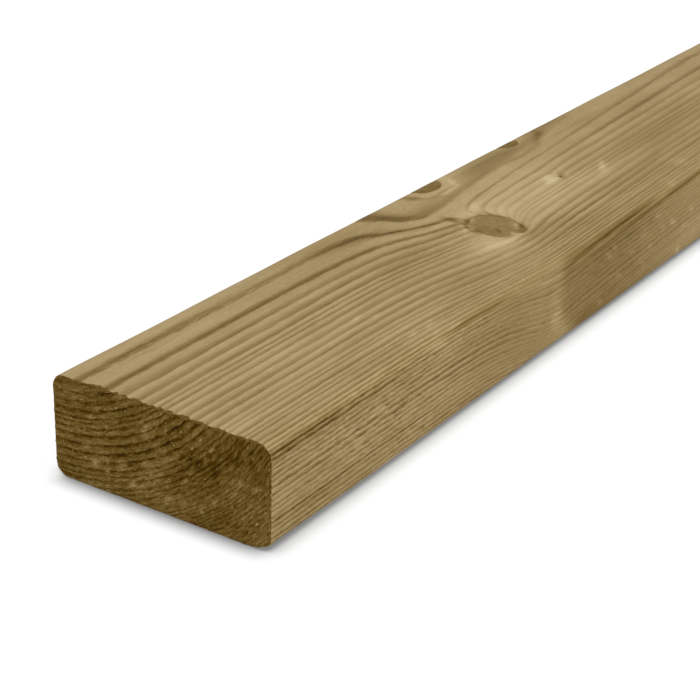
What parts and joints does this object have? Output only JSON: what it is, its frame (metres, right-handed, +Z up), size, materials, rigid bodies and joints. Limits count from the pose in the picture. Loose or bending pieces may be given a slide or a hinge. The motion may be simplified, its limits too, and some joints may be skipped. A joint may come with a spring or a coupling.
{
  "type": "timber stud",
  "caption": "Straight planed softwood stud of rectangular section with eased long edges and square sawn ends, used as an upright, plate or nogging in framing.",
  "frame": {"origin": "middle of the broad face that the stud lies on", "axes": "+X along the grain, +Y across the broad faces, +Z up out of the upper broad face"},
  "size_m": [2.4, 0.089, 0.038],
  "materials": {
    "treated_softwood": "planed, matt, with an olive-brown preservative tint"
  },
  "bodies": {
    "root": {"stud": "treated_softwood"}
  },
  "joints": []
}
